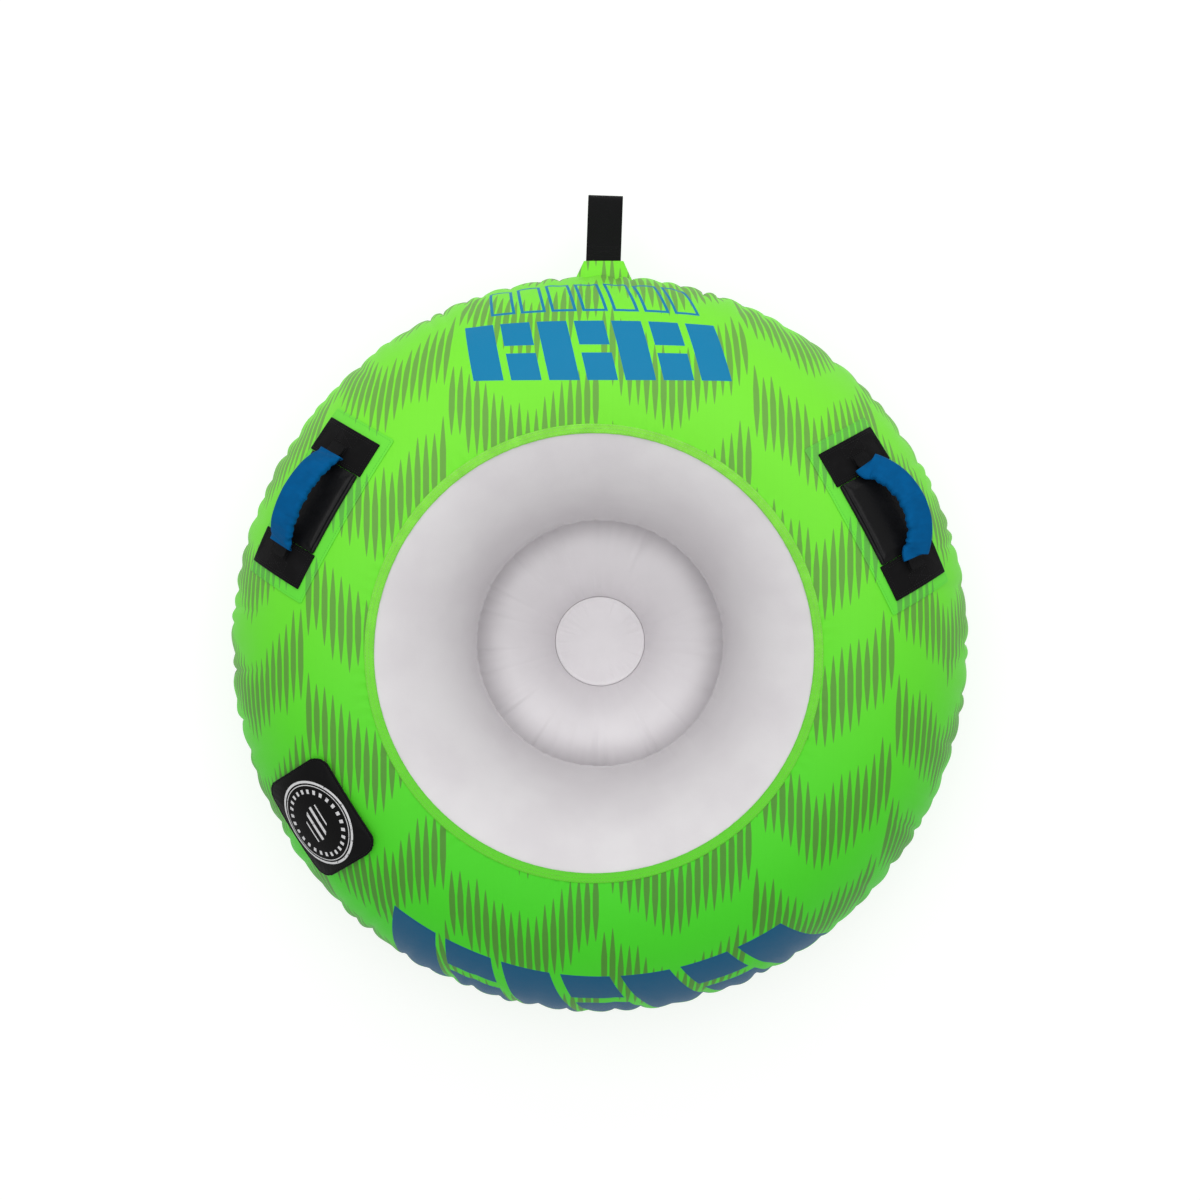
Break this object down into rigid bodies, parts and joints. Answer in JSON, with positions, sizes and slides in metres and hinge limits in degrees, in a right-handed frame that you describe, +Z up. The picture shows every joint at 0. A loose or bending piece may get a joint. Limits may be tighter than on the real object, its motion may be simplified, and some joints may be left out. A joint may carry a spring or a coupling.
{
  "type": "towable tube",
  "caption": "Inflated ring with a padded floor and a sewn nylon cover, pulled behind a boat with its rider seated in the middle.",
  "frame": {"origin": "centre of the base panel's underside, on the ground under the ring's centre", "axes": "+Z up, +Y towards the tow loop, +X to the right of the ring seen from above with the tow loop away from the viewer"},
  "size_m": [1.0531, 1.1711, 0.3735],
  "materials": {
    "printed_nylon": "woven nylon with a printed feather pattern",
    "green_nylon": "plain woven nylon",
    "hem_binding": "folded binding with rows of stitching",
    "black_nylon": "heavy coated nylon",
    "white_pvc": "soft satin vinyl",
    "zipper_tape": "woven tape",
    "zipper_teeth": "moulded",
    "zipper_metal": "plated die casting",
    "valve_plastic": "moulded",
    "valve_rubber": "soft silicone",
    "black_neoprene": "smooth embossed neoprene",
    "hook_and_loop": "hook and loop",
    "black_webbing": "woven webbing",
    "blue_neoprene": "jersey-faced neoprene",
    "foam": "closed-cell foam"
  },
  "bodies": {
    "tube": {"cover_top_panel": "printed_nylon", "opening_hem": "hem_binding", "equator_seam_tape": "black_nylon", "cover_lower_band": "green_nylon", "base_panel": "black_nylon", "zipper_upper_tape": "zipper_tape", "zipper_upper_teeth": "zipper_teeth", "zipper_lower_tape": "zipper_tape", "zipper_lower_teeth": "zipper_teeth", "zipper_start_stop": "zipper_metal", "zipper_end_stop": "zipper_metal", "bladder_ring": "white_pvc", "bladder_inner_weld": "white_pvc", "bladder_floor_weld": "white_pvc", "floor_cushion": "white_pvc", "floor_center_disc": "white_pvc", "valve_flange": "white_pvc", "valve_neck": "valve_plastic", "valve_insert": "valve_plastic", "valve_diaphragm": "valve_rubber", "valve_tether": "valve_plastic", "valve_surround": "black_neoprene", "valve_loop_tape": "hook_and_loop", "valve_flap_seam": "black_neoprene", "left_handle_backing_patch": "green_nylon", "left_handle_knuckle_pad": "black_neoprene", "left_handle_first_patch": "black_neoprene", "left_handle_second_patch": "black_neoprene", "left_handle_first_strap_root": "black_webbing", "left_handle_second_strap_root": "black_webbing", "right_handle_backing_patch": "green_nylon", "right_handle_knuckle_pad": "black_neoprene", "right_handle_first_patch": "black_neoprene", "right_handle_second_patch": "black_neoprene", "right_handle_first_strap_root": "black_webbing", "right_handle_second_strap_root": "black_webbing", "tow_tab": "green_nylon", "tow_webbing_root": "black_webbing"},
    "left_grip": {"left_handle_grip_sleeve": "blue_neoprene", "left_handle_webbing": "black_webbing", "left_handle_foam_core": "foam"},
    "right_grip": {"right_handle_grip_sleeve": "blue_neoprene", "right_handle_webbing": "black_webbing", "right_handle_foam_core": "foam"},
    "tow_loop": {"tow_loop": "black_webbing"},
    "valve_flap": {"valve_flap": "black_neoprene", "valve_hook_tape": "hook_and_loop"},
    "cap_tether_ring": {"valve_tether_ring": "valve_plastic"},
    "valve_cap": {"valve_cap": "valve_plastic"},
    "zipper_slider": {"zipper_slider": "zipper_metal"},
    "zipper_pull": {"zipper_pull": "zipper_metal"}
  },
  "joints": [
    {"name": "left_grip_swing", "type": "hinge", "parent": "tube", "child": "left_grip", "pos_m": [-0.39948, 0.20004, 0.32985], "axis": [-0.4919, -0.8701, -0.0314], "range_deg": [-46, 62]},
    {"name": "right_grip_swing", "type": "hinge", "parent": "tube", "child": "right_grip", "pos_m": [0.3949, 0.18415, 0.33623], "axis": [-0.4693, 0.8826, 0.0278], "range_deg": [-88, 20]},
    {"name": "tow_loop_swing", "type": "hinge", "parent": "tube", "child": "tow_loop", "pos_m": [0.005, 0.551, 0.175], "axis": [0.9994, -0.0349, 0], "range_deg": [-57, 73]},
    {"name": "valve_flap_open", "type": "hinge", "parent": "tube", "child": "valve_flap", "pos_m": [-0.41677, -0.26043, 0.29517], "axis": [0.5299, -0.848, 0], "range_deg": [0, 140]},
    {"name": "valve_cap_lift", "type": "slide", "parent": "tube", "child": "cap_tether_ring", "axis": [-0.4985, -0.3115, 0.809], "range_m": [0, 0.0031]},
    {"name": "valve_cap_turn", "type": "hinge", "parent": "cap_tether_ring", "child": "valve_cap", "pos_m": [-0.38325, -0.23948, 0.31528], "axis": [-0.4985, -0.3115, 0.809], "range_deg": [0, 270]},
    {"name": "zipper_slide", "type": "hinge", "parent": "tube", "child": "zipper_slider", "pos_m": [0, 0, 0], "axis": [0, 0, 1], "range_deg": [0, 86]},
    {"name": "zipper_pull_swing", "type": "hinge", "parent": "zipper_slider", "child": "zipper_pull", "pos_m": [-0.33249, -0.35563, 0.05178], "axis": [-0.457, -0.4888, 0.7431], "range_deg": [-70, 70]}
  ],
  "couplings": [
    {"joint": "valve_cap_lift", "follows": "valve_cap_turn", "m_per_rad": 0.00063662}
  ]
}
